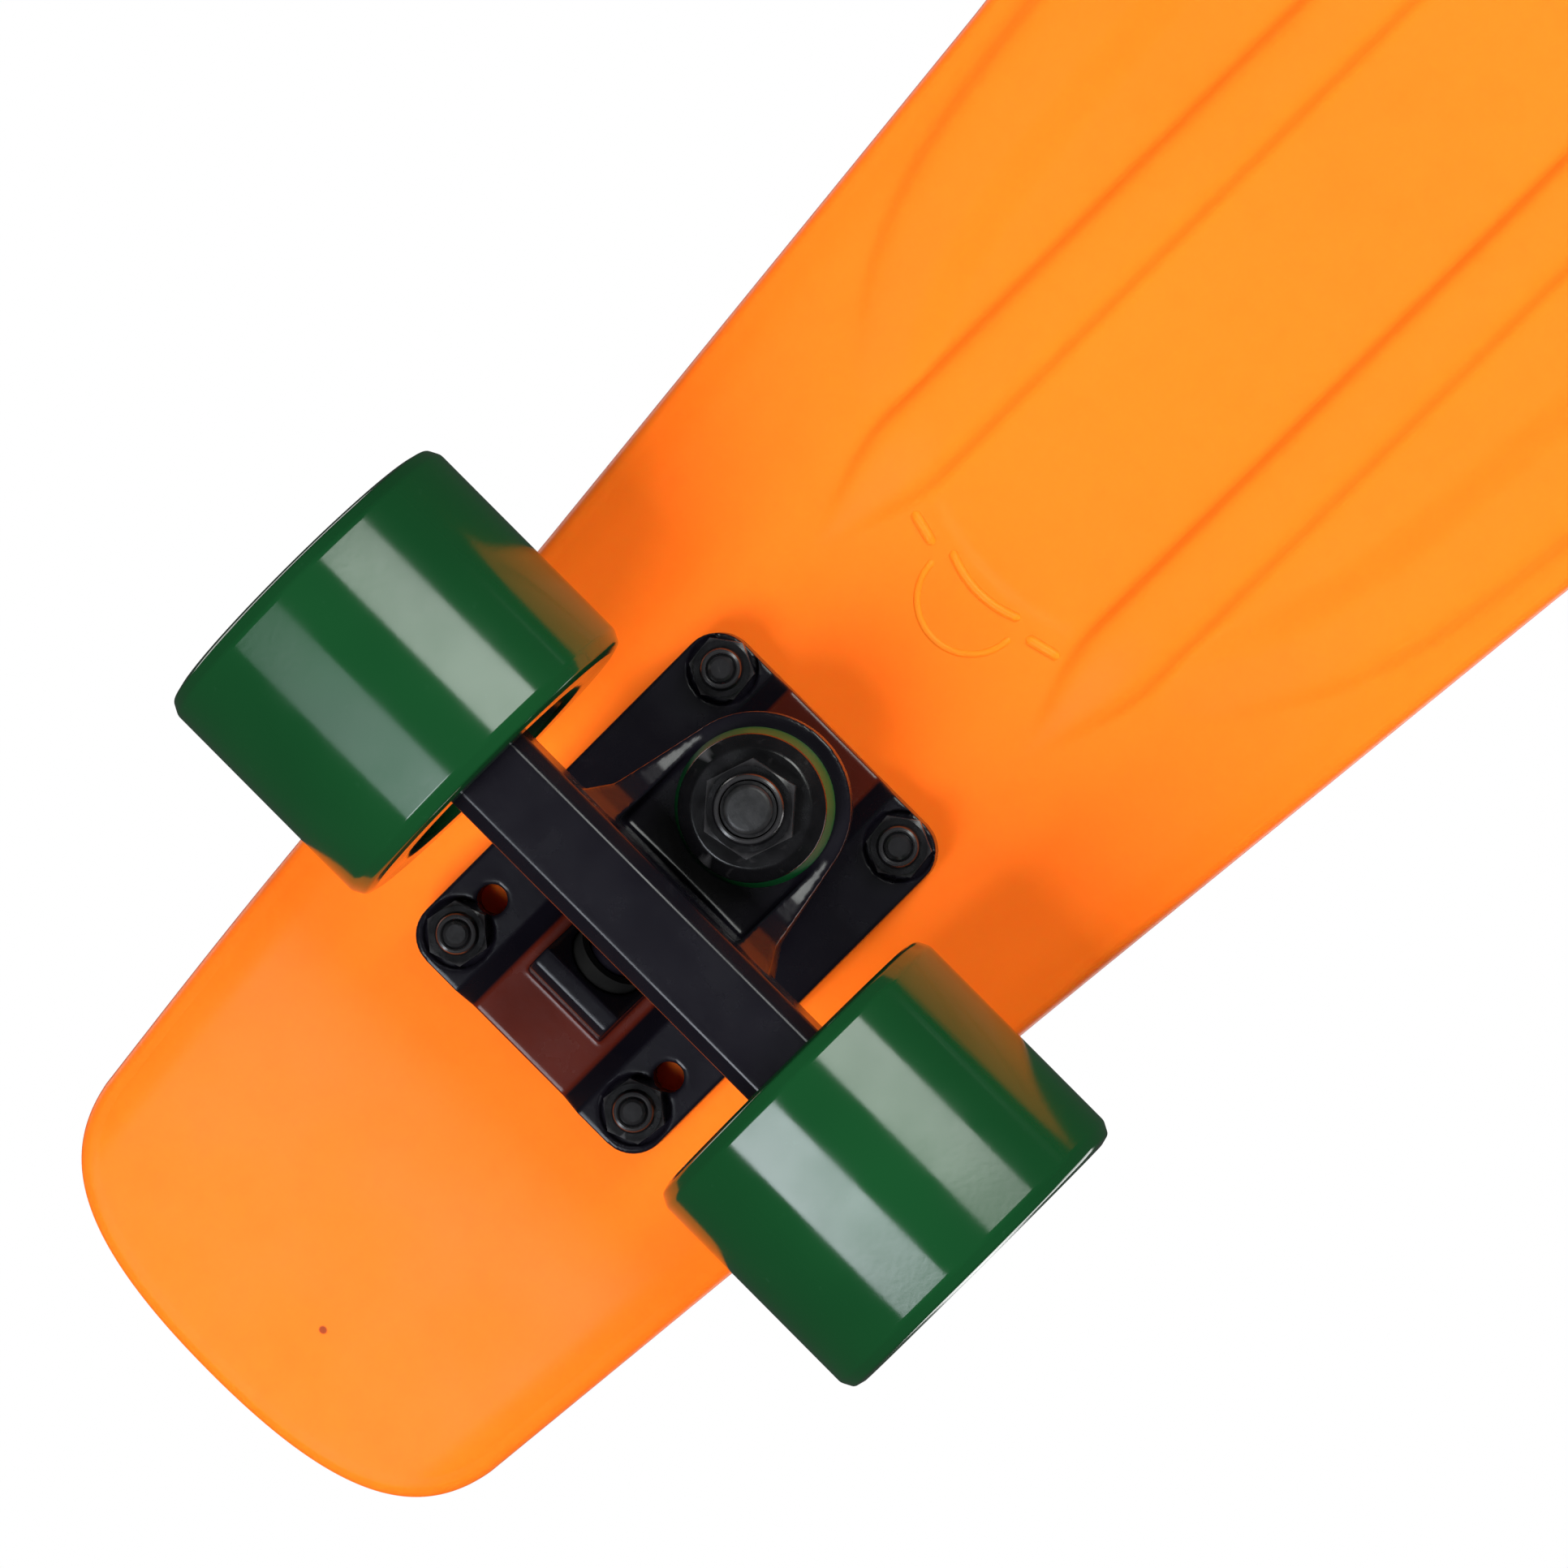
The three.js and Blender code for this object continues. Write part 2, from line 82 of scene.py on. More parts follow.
def new_object(name, vertices, faces, sharp_angle=35):
    mesh = bpy.data.meshes.new(name)
    mesh.from_pydata([tuple(v) for v in vertices], [], faces)
    mesh.validate()
    solid = bmesh.new()
    solid.from_mesh(mesh)
    bmesh.ops.remove_doubles(solid, verts=solid.verts, dist=1e-7)
    bmesh.ops.recalc_face_normals(solid, faces=solid.faces)
    solid.to_mesh(mesh)
    solid.free()
    for polygon in mesh.polygons:
        polygon.use_smooth = True
    mesh.set_sharp_from_angle(angle=math.radians(sharp_angle))
    piece = bpy.data.objects.new(name, mesh)
    bpy.context.scene.collection.objects.link(piece)
    return piece


def rings_to_faces(ring_count, size, closed):
    """Quads between rings of equal size; a closed stack joins its last ring to its first."""
    faces = []
    for ring in range(ring_count if closed else ring_count - 1):
        here, there = ring * size, ((ring + 1) % ring_count) * size
        for n in range(size):
            after = (n + 1) % size
            faces.append((here + n, here + after, there + after, there + n))
    return faces


def rounded(corners, radius, steps=4):
    """A closed outline with each corner replaced by an arc. A corner may carry its own radius."""
    result = []
    count = len(corners)
    for n, corner in enumerate(corners):
        here = Vector(corner[:2])
        before = Vector(corners[n - 1][:2]) - here
        after = Vector(corners[(n + 1) % count][:2]) - here
        wish = corner[2] if len(corner) > 2 else radius
        half = before.angle(after) / 2
        reach = min(wish / math.tan(half), before.length * 0.48, after.length * 0.48)
        if reach < 1e-7:
            result.append(tuple(here))
            continue
        start = here + before.normalized() * reach
        end = here + after.normalized() * reach
        for step in range(steps + 1):
            t = step / steps
            result.append(tuple(start * (1 - t) ** 2 + here * 2 * t * (1 - t) + end * t ** 2))
    return result


def turned(name, profile, matrix, segments=96, sharp_angle=35):
    """A closed outline of (radius, height) turned about Z, then moved by the matrix."""
    vertices = []
    for radius, height in profile:
        for n in range(segments):
            turn = 2 * math.pi * n / segments
            point = Vector((radius * math.cos(turn), radius * math.sin(turn), height))
            vertices.append(matrix @ point)
    return flat_shaded(new_object(name, vertices, rings_to_faces(len(profile), segments, True), sharp_angle))


def flat_shaded(piece):
    """Keeps flat faces looking flat right up to their rounded edges."""
    weighted = piece.modifiers.new("weighted_normals", "WEIGHTED_NORMAL")
    weighted.keep_sharp = True
    weighted.weight = 80
    return piece


def thread(radius, low, high, pitch, depth):
    """Outline points of a screw thread, from low to high."""
    points = []
    turns = int((high - low) / pitch)
    for n in range(turns):
        z = low + n * pitch
        points += [(radius - depth, z), (radius, z + 0.35 * pitch), (radius, z + 0.6 * pitch)]
    return points


def hexagon_radius(turn, across_flats):
    sector = (turn + math.pi / 6) % (math.pi / 3) - math.pi / 6
    return across_flats / 2 / math.cos(sector)


def nut(name, across_flats, low, high, hole, collar, collar_height, matrix, spin=0.0):
    """A chamfered hexagon nut with a round locking collar above it and a ring inside the collar."""
    segments = 96
    bevel_start = across_flats / 2 * 0.97
    rings = []

    def circle(radius, z):
        rings.append([(radius, z)] * segments)

    def chamfered(z, sign):
        ring = []
        for n in range(segments):
            radius = hexagon_radius(2 * math.pi * n / segments, across_flats) - 0.02 * MM
            ring.append((radius, z + sign * (radius - bevel_start) * 0.55))
        rings.append(ring)

    collar_top = high + collar_height
    circle(hole, low)
    circle(bevel_start, low)
    chamfered(low, 1)
    chamfered(high, -1)
    circle(bevel_start, high)
    circle(collar + 0.3 * MM, high)
    circle(collar, high + 0.3 * MM)
    circle(collar, collar_top - 0.5 * MM)
    circle(collar - 0.2 * MM, collar_top - 0.15 * MM)
    circle(collar - 0.6 * MM, collar_top)
    circle(collar - 0.9 * MM, collar_top - 0.2 * MM)
    circle(hole + 0.35 * MM, collar_top - 0.55 * MM)
    circle(hole, collar_top - 0.9 * MM)
    vertices = []
    for ring in rings:
        for n, (radius, z) in enumerate(ring):
            turn = 2 * math.pi * n / segments + spin
            vertices.append(matrix @ Vector((radius * math.cos(turn), radius * math.sin(turn), z)))
    return flat_shaded(new_object(name, vertices, rings_to_faces(len(rings), segments, True), 25))


def softened(node, name, voxel, rounds):
    """A copy of a CAD node's mesh with its cast edges rounded over."""
    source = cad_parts[node]
    mesh = source.data.copy()
    mesh.name = name
    mesh.materials.clear()
    piece = bpy.data.objects.new(name, mesh)
    bpy.context.scene.collection.objects.link(piece)
    remesh = piece.modifiers.new("remesh", "REMESH")
    remesh.mode = "VOXEL"
    remesh.voxel_size = voxel
    smooth = piece.modifiers.new("smooth", "SMOOTH")
    smooth.iterations = rounds
    smooth.factor = 0.5
    bake_modifiers(piece)
    for polygon in piece.data.polygons:
        polygon.use_smooth = True
    return piece


def bake_modifiers(piece):
    shaped = piece.evaluated_get(bpy.context.evaluated_depsgraph_get())
    mesh = bpy.data.meshes.new_from_object(shaped)
    piece.modifiers.clear()
    piece.data = mesh


def finish_piece(piece, body, slot, material, *nodes):
    piece.data.materials.clear()
    piece.data.materials.append(material)
    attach(piece, body)
    if nodes:
        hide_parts(*nodes)
    return piece


def smooth_step(low, high, x):
    t = np.clip((x - low) / (high - low), 0, 1)
    return t * t * (3 - 2 * t)


# ---------------------------------------------------------------- materials

class Shader:
    """A material with a principled shader and short calls for the nodes that feed it."""

    def __init__(self, name, roughness=0.5, metallic=0.0, ior=1.5):
        self.material = bpy.data.materials.new(name)
        self.material.use_nodes = True
        self.nodes = self.material.node_tree.nodes
        self.links = self.material.node_tree.links
        self.shader = self.nodes["Principled BSDF"]
        self.shader.inputs["Roughness"].default_value = roughness
        self.shader.inputs["Metallic"].default_value = metallic
        self.shader.inputs["IOR"].default_value = ior
        self.place = self.nodes.new("ShaderNodeTexCoord").outputs["Object"]

    def noise(self, scale, detail=3.0, roughness=0.5, distortion=0.0):
        node = self.nodes.new("ShaderNodeTexNoise")
        node.inputs["Scale"].default_value = scale
        node.inputs["Detail"].default_value = detail
        node.inputs["Roughness"].default_value = roughness
        node.inputs["Distortion"].default_value = distortion
        self.links.new(self.place, node.inputs["Vector"])
        return node.outputs["Fac"]

    def cells(self, scale):
        node = self.nodes.new("ShaderNodeTexVoronoi")
        node.inputs["Scale"].default_value = scale
        self.links.new(self.place, node.inputs["Vector"])
        return node.outputs["Distance"]

    def ramp(self, value, stops):
        node = self.nodes.new("ShaderNodeValToRGB")
        ramp = node.color_ramp
        while len(ramp.elements) < len(stops):
            ramp.elements.new(0.5)
        for element, (position, colour) in zip(ramp.elements, stops):
            element.position = position
            element.color = (*colour, 1)
        self.links.new(value, node.inputs["Fac"])
        return node.outputs["Color"]

    def span(self, value, low, high, low_out, high_out):
        node = self.nodes.new("ShaderNodeMapRange")
        for socket, number in zip(list(node.inputs)[1:5], (low, high, low_out, high_out)):
            socket.default_value = number
        self.links.new(value, node.inputs["Value"])
        return node.outputs["Result"]

    def mix(self, factor, first, second):
        node = self.nodes.new("ShaderNodeMix")
        node.data_type = "RGBA"
        self.links.new(factor, node.inputs[0])
        for socket, value in ((node.inputs[6], first), (node.inputs[7], second)):
            if isinstance(value, tuple):
                socket.default_value = (*value, 1)
            else:
                self.links.new(value, socket)
        return node.outputs[2]

    def edges(self, low, high):
        """Where the surface is convex: 1 on outer edges, 0 elsewhere. Used to paint highlights onto edges."""
        node = self.nodes.new("ShaderNodeNewGeometry")
        return self.span(node.outputs["Pointiness"], low, high, 0, 1)

    def colour(self, value):
        self.links.new(value, self.shader.inputs["Base Color"])

    def roughness(self, value):
        self.links.new(value, self.shader.inputs["Roughness"])

    def bump(self, *layers):
        """Layers of (height, distance in metres, strength), each on top of the one before."""
        normal = None
        for height, distance, strength in layers:
            node = self.nodes.new("ShaderNodeBump")
            node.inputs["Distance"].default_value = distance
            node.inputs["Strength"].default_value = strength
            self.links.new(height, node.inputs["Height"])
            if normal:
                self.links.new(normal, node.inputs["Normal"])
            normal = node.outputs["Normal"]
        self.links.new(normal, self.shader.inputs["Normal"])


def deck_plastic(name, lift=1.0):
    """Orange moulded plastic. Lift above 1 makes it yellower and lighter, as in the copy used as a painted
    highlight on the raised marks.
    """
    shade = Shader(name, ior=1.25)
    shade.shader.inputs["Subsurface Weight"].default_value = 0.3
    shade.shader.inputs["Subsurface Radius"].default_value = (1.0, 0.22, 0.05)
    shade.shader.inputs["Subsurface Scale"].default_value = 0.005
    cloud = shade.noise(9, 2)
    base = shade.ramp(cloud, [(0.3, (0.92, 0.155 * lift, 0.0095)), (0.7, (0.96, 0.171 * lift, 0.0105))])
    fine = shade.noise(160, 3)
    base = shade.mix(shade.span(fine, 0.45, 0.75, 0, 0.25), base, (0.88, 0.141 * lift, 0.008))
    specks = shade.ramp(shade.cells(34), [(0.0, (1, 1, 1)), (0.022, (1, 1, 1)), (0.03, (0, 0, 0))])
    base = shade.mix(specks, base, (0.30, 0.045, 0.01))
    shade.colour(base)
    shade.roughness(shade.span(shade.noise(45, 4), 0.3, 0.7, 0.34, 0.42))
    shade.bump((shade.noise(700, 2), 0.00006, 0.3), (shade.noise(60, 2), 0.0003, 0.1))
    return shade.material


def wheel_urethane():
    shade = Shader("wheel_urethane", ior=1.5)
    cloud = shade.noise(30, 2)
    base = shade.ramp(cloud, [(0.3, (0.0034, 0.036, 0.0098)), (0.7, (0.0042, 0.043, 0.0115))])
    dust = shade.noise(420, 4, 0.7)
    base = shade.mix(shade.span(dust, 0.66, 0.8, 0, 0.3), base, (0.02, 0.07, 0.035))
    shade.colour(base)
    shade.roughness(shade.span(shade.noise(90, 4), 0.3, 0.75, 0.09, 0.16))
    shade.bump((shade.noise(50, 2), 0.0002, 0.06), (shade.noise(900, 2), 0.00002, 0.15))
    return shade.material


def bushing_urethane():
    shade = Shader("bushing_urethane", ior=1.36)
    base = shade.ramp(shade.noise(60, 2), [(0.3, (0.0015, 0.052, 0.012)), (0.7, (0.0025, 0.064, 0.015))])
    shade.colour(base)
    shade.roughness(shade.span(shade.noise(150, 3), 0.3, 0.7, 0.42, 0.55))
    shade.bump((shade.noise(300, 2), 0.0001, 0.2))
    return shade.material


def truck_casting(name, brown_channel=False):
    """Black powder coat. For the baseplate, its channel floor is coloured dark brown."""
    shade = Shader(name, ior=1.46)
    base = shade.ramp(shade.noise(40, 3), [(0.3, (0.0028, 0.0024, 0.0042)), (0.7, (0.0044, 0.0038, 0.0062))])
    worn = shade.noise(220, 4, 0.7)
    base = shade.mix(shade.span(worn, 0.62, 0.8, 0, 0.4), base, (0.012, 0.011, 0.014))
    if brown_channel:
        # The channel floor, found by its height, is coloured dark brown.
        split = shade.nodes.new("ShaderNodeSeparateXYZ")
        shade.links.new(shade.place, split.inputs[0])
        floor = DECK_Z - 5.3 * MM
        channel = shade.span(split.outputs["Z"], floor - 0.5 * MM, floor - 0.1 * MM, 0, 1)
        brown = shade.ramp(shade.noise(90, 3),
                           [(0.3, (0.048, 0.0058, 0.0028)), (0.7, (0.066, 0.0082, 0.004))])
        base = shade.mix(channel, base, brown)
    shade.colour(base)
    shade.roughness(shade.span(shade.noise(120, 4), 0.3, 0.7, 0.20, 0.30))
    shade.bump((shade.noise(900, 3, 0.6), 0.00006, 0.3), (shade.noise(130, 2), 0.0003, 0.1))
    return shade.material


def black_hardware():
    shade = Shader("black_hardware", ior=1.55)
    base = shade.ramp(shade.noise(300, 3), [(0.3, (0.002, 0.002, 0.0023)), (0.7, (0.004, 0.0038, 0.0044))])
    scuff = shade.noise(500, 5, 0.7, 0.6)
    base = shade.mix(shade.span(scuff, 0.6, 0.75, 0, 0.5), base, (0.03, 0.028, 0.029))
    # Convex edges made lighter: painted highlight along the edges of nuts, washers and bolts.
    base = shade.mix(shade.edges(0.53, 0.64), base, (0.040, 0.039, 0.041))
    shade.colour(base)
    shade.roughness(shade.span(shade.noise(260, 4), 0.3, 0.7, 0.16, 0.30))
    shade.bump((shade.noise(1200, 2), 0.00005, 0.3))
    return shade.material


def kingpin_steel():
    """Black oxide rubbed back to grey steel, with painted highlights along its edges."""
    shade = Shader("kingpin_steel", ior=1.6)
    base = shade.ramp(shade.noise(350, 4, 0.65),
                      [(0.35, (0.004, 0.004, 0.0044)), (0.65, (0.014, 0.0138, 0.0146))])
    # Convex edges made lighter: painted highlight along the kingpin's edges.
    base = shade.mix(shade.edges(0.53, 0.64), base, (0.05, 0.049, 0.05))
    shade.colour(base)
    shade.roughness(shade.span(shade.noise(300, 4), 0.3, 0.7, 0.34, 0.5))
    shade.bump((shade.noise(900, 3, 0.6), 0.00012, 0.4))
    return shade.material


def bare_steel(name, dark, light, low_rough, high_rough):
    shade = Shader(name, metallic=1.0)
    base = shade.ramp(shade.noise(180, 4), [(0.3, (dark,) * 3), (0.7, (light,) * 3)])
    shade.colour(base)
    shade.roughness(shade.span(shade.noise(400, 4), 0.3, 0.7, low_rough, high_rough))
    shade.bump((shade.noise(1500, 2, 0.6), 0.00003, 0.25))
    return shade.material


def pivot_rubber():
    shade = Shader("pivot_rubber", ior=1.25)
    base = shade.ramp(shade.noise(200, 3), [(0.3, (0.004, 0.004, 0.004)), (0.7, (0.007, 0.007, 0.0065))])
    shade.colour(base)
    shade.roughness(shade.span(shade.noise(200, 3), 0.3, 0.7, 0.7, 0.85))
    shade.bump((shade.noise(600, 2), 0.00006, 0.3))
    return shade.material


def floor_paint():
    """Pale matt floor that is seen only from above, so a view from below looks through it."""
    shade = Shader("floor_paint", roughness=0.8)
    base = shade.ramp(shade.noise(1.5, 3), [(0.3, (0.21, 0.21, 0.212)), (0.7, (0.23, 0.23, 0.232))])
    shade.colour(base)
    shade.shader.inputs["Emission Color"].default_value = (0.97, 0.98, 1, 1)
    shade.shader.inputs["Emission Strength"].default_value = 0.55
    shade.bump((shade.noise(60, 2), 0.0005, 0.05))
    nodes, links = shade.nodes, shade.links
    clear = nodes.new("ShaderNodeBsdfTransparent")
    side = nodes.new("ShaderNodeNewGeometry")
    mixer = nodes.new("ShaderNodeMixShader")
    links.new(side.outputs["Backfacing"], mixer.inputs[0])
    links.new(shade.shader.outputs[0], mixer.inputs[1])
    links.new(clear.outputs[0], mixer.inputs[2])
    links.new(mixer.outputs[0], nodes["Material Output"].inputs["Surface"])
    return shade.material


DECK = deck_plastic("deck_plastic")
# A lighter copy of the deck plastic: painted highlight on the raised moulding marks.
MARK_PAINTED_HIGHLIGHT = deck_plastic("raised_mark_painted_highlight", 1.16)
WHEEL = wheel_urethane()
BUSHING = bushing_urethane()
CASTING = truck_casting("truck_casting")
PLATE = truck_casting("baseplate_casting", brown_channel=True)
BLACK = black_hardware()
KINGPIN = kingpin_steel()
AXLE_STEEL = bare_steel("axle_steel", 0.42, 0.55, 0.25, 0.38)
BEARING_STEEL = bare_steel("bearing_steel", 0.5, 0.62, 0.16, 0.28)
CUP = pivot_rubber()


# ---------------------------------------------------------------- camera

CAMERA_DISTANCE = 1.745       # below the rear axle
CAMERA_AHEAD = 0.147          # towards the nose from the rear axle
CAMERA_LEFT = 0.062
AIM_AHEAD = 0.0318
AIM_LEFT = 0.0011
LENS = 248.7


def add_camera():
    data = bpy.data.cameras.new("camera")
    data.lens = LENS
    data.sensor_width = 36
    data.clip_start = 0.05
    data.clip_end = 50
    camera = bpy.data.objects.new("camera", data)
    bpy.context.scene.collection.objects.link(camera)
    place = REAR_AXLE + Vector((CAMERA_AHEAD, CAMERA_LEFT, -CAMERA_DISTANCE))
    aim = REAR_AXLE + Vector((AIM_AHEAD, AIM_LEFT, 0))
    back = (place - aim).normalized()
    up = Vector((1, -1, 0))
    across = up.cross(back).normalized()
    up = back.cross(across)
    turn = Matrix((across, up, back)).transposed()
    camera.matrix_world = Matrix.Translation(place) @ turn.to_4x4()
    bpy.context.scene.camera = camera


# ---------------------------------------------------------------- deck

def bezier(points, steps):
    t = np.linspace(0, 1, steps)[:, None]
    a, b, c, d = (np.array(p, float) for p in points)
    return a * (1 - t) ** 3 + 3 * b * t * (1 - t) ** 2 + 3 * c * t * t * (1 - t) + d * t ** 3


def deck_outline():
    """The left half of the outline in millimetres, as tail end, side and nose end."""
    tail, nose = TAIL_X / MM, NOSE_X / MM
    axle, wide = REAR_AXLE.x / MM, HALF_WIDTH / MM
    tail_corner = (tail + 23, 45.8)
    waist, flare = (axle + 31, 57.1), (axle + 141, 68.1)
    widest, shoulder = (71, wide), (240, 52)
    tail_end = bezier([(tail, 0), (tail, 28), (tail + 6, 43.2), tail_corner], 60)
    side = np.vstack([
        np.linspace(tail_corner, waist, 60)[:-1],
        np.linspace(waist, flare, 60)[:-1],
        bezier([flare, (3, 72.4), (36, wide), widest], 60)[:-1],
        bezier([widest, (140, wide), (205, 68), shoulder], 90),
    ])
    nose_end = bezier([shoulder, (268, 39), (nose, 22), (nose, 0)], 60)[::-1]
    return tail_end, side, nose_end


def along(path, count):
    """Points at equal steps along a path, with the path's smoothed heading at each."""
    steps = np.linalg.norm(np.diff(path, axis=0), axis=1)
    length = np.concatenate([[0], np.cumsum(steps)])
    want = np.linspace(0, length[-1], count)
    points = np.stack([np.interp(want, length, path[:, k]) for k in (0, 1)], axis=1)
    smooth = np.stack([np.convolve(np.pad(points[:, k], 3, "reflect", reflect_type="odd"),
                                   np.ones(7) / 7, "valid") for k in (0, 1)], axis=1)
    heading = np.gradient(smooth, axis=0)
    heading /= np.linalg.norm(heading, axis=1)[:, None]
    return points, heading


def outward(heading):
    """The heading turned a quarter turn to the left."""
    return np.stack([-heading[:, 1], heading[:, 0]], axis=1)


def kick(x):
    """Height of the deck's bend at x: a raised tail and a slight nose."""
    tail, nose = TAIL_X / MM, NOSE_X / MM
    kick_x, nose_x = REAR_AXLE.x / MM - 42, FRONT_AXLE.x / MM + 36
    tail_curve = bezier([(kick_x, 0), (kick_x - 20, 0), (tail + 25, 11), (tail - 1, 20)], 60)
    nose_curve = bezier([(nose_x, 0), (nose_x + 14, 0), (nose - 12, 5), (nose + 1, 8)], 40)
    rise = np.interp(x, tail_curve[::-1, 0], tail_curve[::-1, 1])
    return rise + np.interp(x, nose_curve[:, 0], nose_curve[:, 1])


RIB_Y = 24.5                  # millimetres from the middle of the board to a straight rib
RIB_FADE_IN = (57, 92)        # where it rises, from the axle towards the middle
SWEPT_RIB_Y = 30              # where the swept ribs start
SWEPT_RIB_REACH = 17          # how quickly they sweep out
SWEPT_RIB_FADE_IN = (76, 122)
SWEPT_RIB_DEPTH = 0.75        # share of a straight rib's depth


def rib_height(x, y, edge):
    """How far the ribs stand below the flat underside, 0 to 1, at x from the tail and |y|."""
    rear = x - REAR_AXLE.x / MM
    front = FRONT_AXLE.x / MM - x
    end = np.minimum(rear, front)
    side = np.abs(y)
    # straight ribs beside the flat middle panel
    half = 0.5 + 6.0 * smooth_step(56, 84, end)
    beyond = np.abs(side - RIB_Y) - half
    inner = smooth_step(*RIB_FADE_IN, end) * (0.85 * flank(beyond, 1.1, 0.7) + 0.15 * flank(beyond, 3.4, 2.4))
    # ribs that sweep out and follow the edge
    outer_sweep = 0.83 * (1 - np.exp(-np.maximum(end - 79.5, 0) / SWEPT_RIB_REACH))
    inner_sweep = 0.43 * (1 - np.exp(-np.maximum(end - 91, 0) / SWEPT_RIB_REACH))
    outer_line = SWEPT_RIB_Y + outer_sweep * (edge - SWEPT_RIB_Y)
    inner_line = SWEPT_RIB_Y + inner_sweep * (edge - SWEPT_RIB_Y)
    outer = flank(side - outer_line - 0.6, 2.0, 0.9) * smooth_step(0, 9, side - inner_line + 4.5)
    return np.maximum(inner, SWEPT_RIB_DEPTH * smooth_step(*SWEPT_RIB_FADE_IN, end) * outer)


def flank(beyond, inner_reach, outer_reach):
    """Falls from 1 to 0 across the foot of a rib, steepest where beyond is 0."""
    inside = 1 - 0.5 * np.exp(np.minimum(beyond, 0) / inner_reach)
    outside = 0.5 * np.exp(-np.maximum(beyond, 0) / outer_reach)
    return np.where(beyond < 0, inside, outside)


PANEL_RISE = 0.4              # millimetres
PANEL_SIDE = (17, 19)         # where the panel ends towards each rib


def deck_surfaces(x, y, edge):
    """Top and bottom heights in millimetres over the plan."""
    bend = kick(x)
    top = DECK_Z / MM + DECK_THICK / MM + bend
    margin = np.maximum(edge - np.abs(y), 0)
    roll = 1.5 * (1 - smooth_step(0, 10, margin)) ** 1.5
    end = np.minimum(x - REAR_AXLE.x / MM, FRONT_AXLE.x / MM - x)
    # the flat panel between the ribs starts at a small curved step
    step_line = 77.5 + 0.012 * y ** 2
    past_step = smooth_step(step_line - 0.8, step_line + 0.8, end)
    panel = PANEL_RISE * past_step * (1 - smooth_step(*PANEL_SIDE, np.abs(y)))
    bottom = DECK_Z / MM + bend + roll - RIB_DEPTH / MM * rib_height(x, y, edge) + panel
    return top, bottom


ROWS, COLUMNS = 420, 161
RIB_SPAN = 34.0               # millimetres from the middle, a little past the straight ribs
RIB_SHARE = 0.6               # share of the columns inside that span
RIM = ((-3.0, 1.0), (-1.9, 0.985), (-1.0, 0.92), (-0.35, 0.80), (0.0, 0.6), (0.0, 0.42),
       (-0.3, 0.24), (-1.0, 0.1), (-1.9, 0.02), (-3.0, 0.0))


def deck_plan(inset):
    """Grid of plan points whose border is the outline moved in by the inset."""
    tail_end, side, nose_end = deck_outline()
    half = COLUMNS // 2 + 1
    tail_points, tail_heading = along(tail_end, half)
    side_points, side_heading = along(side, ROWS)
    nose_points, nose_heading = along(nose_end, half)
    tail_points = tail_points - inset * outward(tail_heading)
    side_points = side_points - inset * outward(side_heading)
    nose_points = nose_points + inset * outward(nose_heading)
    tail_points[0, 1] = nose_points[0, 1] = 0
    side_points[0], side_points[-1] = tail_points[-1], nose_points[-1]
    share = np.linspace(0, 1, half)
    distance = side_points[:, 0] - side_points[0, 0]
    near_tail = (1 - smooth_step(0, 60, distance))[:, None]
    near_nose = (1 - smooth_step(0, 95, side_points[-1, 0] - side_points[:, 0]))[:, None]
    x = (side_points[:, :1] + near_tail * (tail_points[:, 0] - tail_points[-1, 0])[None, :]
         + near_nose * (nose_points[:, 0] - nose_points[-1, 0])[None, :])
    straight = share[None, :]
    tail_share = (tail_points[:, 1] / tail_points[-1, 1])[None, :]
    nose_share = (nose_points[:, 1] / nose_points[-1, 1])[None, :]
    across = straight + near_tail * (tail_share - straight) + near_nose * (nose_share - straight)
    sides = side_points[:, 1:2]
    # between the trucks the inner columns run parallel to the ribs, so that their edges stay straight
    parallel = np.where(straight < RIB_SHARE, straight / RIB_SHARE * RIB_SPAN,
                        RIB_SPAN + (straight - RIB_SHARE) / (1 - RIB_SHARE) * (sides - RIB_SPAN))
    middle_part = smooth_step(110, 150, distance) * (1 - smooth_step(430, 480, distance))
    y = sides * across + middle_part[:, None] * (parallel - sides * across)
    x = np.hstack([x[:, :0:-1], x])
    y = np.hstack([-y[:, :0:-1], y])
    edge = np.broadcast_to(side_points[:, 1:2] + inset, x.shape)
    return x, y, edge


def border(grid):
    """The border of a grid in order: tail row, left side, nose row, right side."""
    return np.concatenate([grid[0, :-1], grid[:-1, -1], grid[-1, :0:-1], grid[:0:-1, 0]])


def deck_shell():
    x, y, edge = deck_plan(-RIM[0][0])
    top, bottom = deck_surfaces(x, y, edge)
    count = ROWS * COLUMNS
    vertices = [np.stack([x, y, height], axis=-1).reshape(-1, 3) for height in (top, bottom)]
    faces = []
    index = np.arange(count).reshape(ROWS, COLUMNS)
    for row in range(ROWS - 1):
        for column in range(COLUMNS - 1):
            quad = [index[row, column], index[row + 1, column],
                    index[row + 1, column + 1], index[row, column + 1]]
            faces.append([int(n) for n in quad])
            faces.append([int(n) + count for n in reversed(quad)])
    loops = [border(index)]
    total = 2 * count
    rim_size = len(loops[0])
    border_top, border_bottom = border(top), border(bottom)
    for offset, height in RIM[1:-1]:
        rim_x, rim_y, _ = deck_plan(-offset)
        z = border_bottom + (border_top - border_bottom) * height
        vertices.append(np.stack([border(rim_x), border(rim_y), z], axis=-1))
        loops.append(np.arange(total, total + rim_size))
        total += rim_size
    loops.append(border(index) + count)
    for upper, lower in zip(loops, loops[1:]):
        for n in range(rim_size):
            after = (n + 1) % rim_size
            faces.append([int(upper[n]), int(upper[after]), int(lower[after]), int(lower[n])])
    shell = new_object("deck_shell", np.vstack(vertices) * MM, faces, 60)
    holes = deck_holes()
    cut = shell.modifiers.new("holes", "BOOLEAN")
    cut.operation = "DIFFERENCE"
    cut.object = holes
    cut.solver = "EXACT"
    bake_modifiers(shell)
    bpy.data.objects.remove(holes)
    return shell


